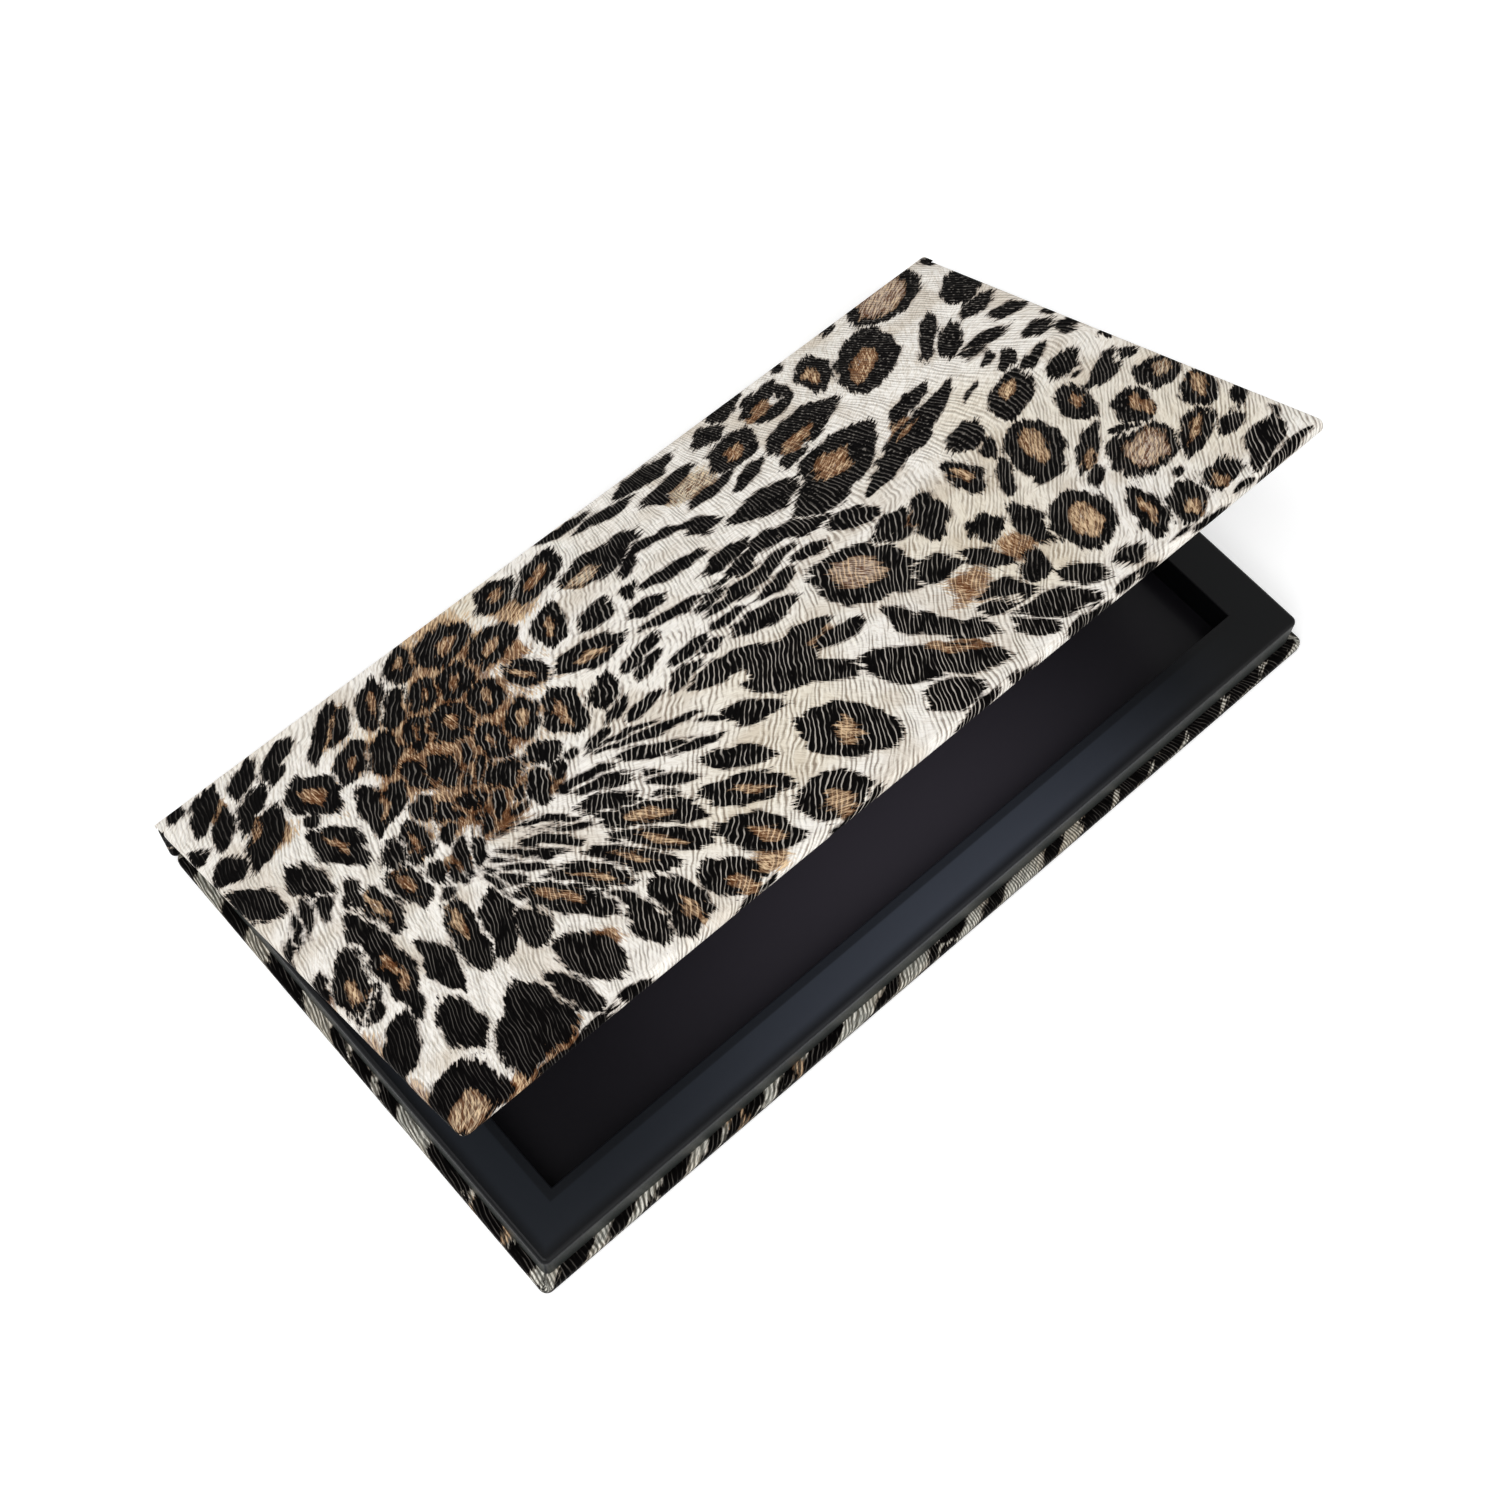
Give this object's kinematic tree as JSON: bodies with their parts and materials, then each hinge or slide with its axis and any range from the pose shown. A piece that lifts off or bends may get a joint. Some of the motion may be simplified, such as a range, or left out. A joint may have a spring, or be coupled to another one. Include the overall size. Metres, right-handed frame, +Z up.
{
  "type": "magnetic makeup palette",
  "caption": "Book-style paperboard palette case in animal-print wrap, its lid hinged on the spine over an open magnetic well for loose pans.",
  "frame": {"origin": "middle of the underside of the base", "axes": "+X along the hinge to the right as seen from the front, -Y towards the front edge, +Z up"},
  "size_m": [0.185, 0.106, 0.0626],
  "materials": {
    "print_wrap": "embossed leatherette with a cream, brown and black leopard print, satin",
    "greyboard": "raw die-cut greyboard",
    "black_gloss": "glossy black coated paper",
    "black_paper": "satin black lining paper",
    "magnet_rubber": "dark brown flexible magnet sheet",
    "nickel": "nickel-plated disc magnets"
  },
  "bodies": {
    "base": {"base_board": "greyboard", "base_wrap": "print_wrap", "frame_layer_lower": "greyboard", "frame_layer_middle": "greyboard", "frame_layer_upper": "greyboard", "hinge_strip": "black_paper", "magnet_sheet": "magnet_rubber", "spine_board": "greyboard", "spine_wrap": "print_wrap", "tray_cover": "black_gloss", "tray_magnet_left": "nickel", "tray_magnet_right": "nickel", "well_lining": "black_gloss"},
    "lid": {"lid_board": "greyboard", "lid_lining": "black_paper", "lid_magnet_left": "nickel", "lid_magnet_right": "nickel", "lid_wrap": "print_wrap"}
  },
  "joints": [
    {"name": "lid_hinge", "type": "hinge", "parent": "base", "child": "lid", "pos_m": [0, 0.0518, 0.0125], "axis": [-1, 0, 0], "range_deg": [-28.5, 151.5]}
  ]
}
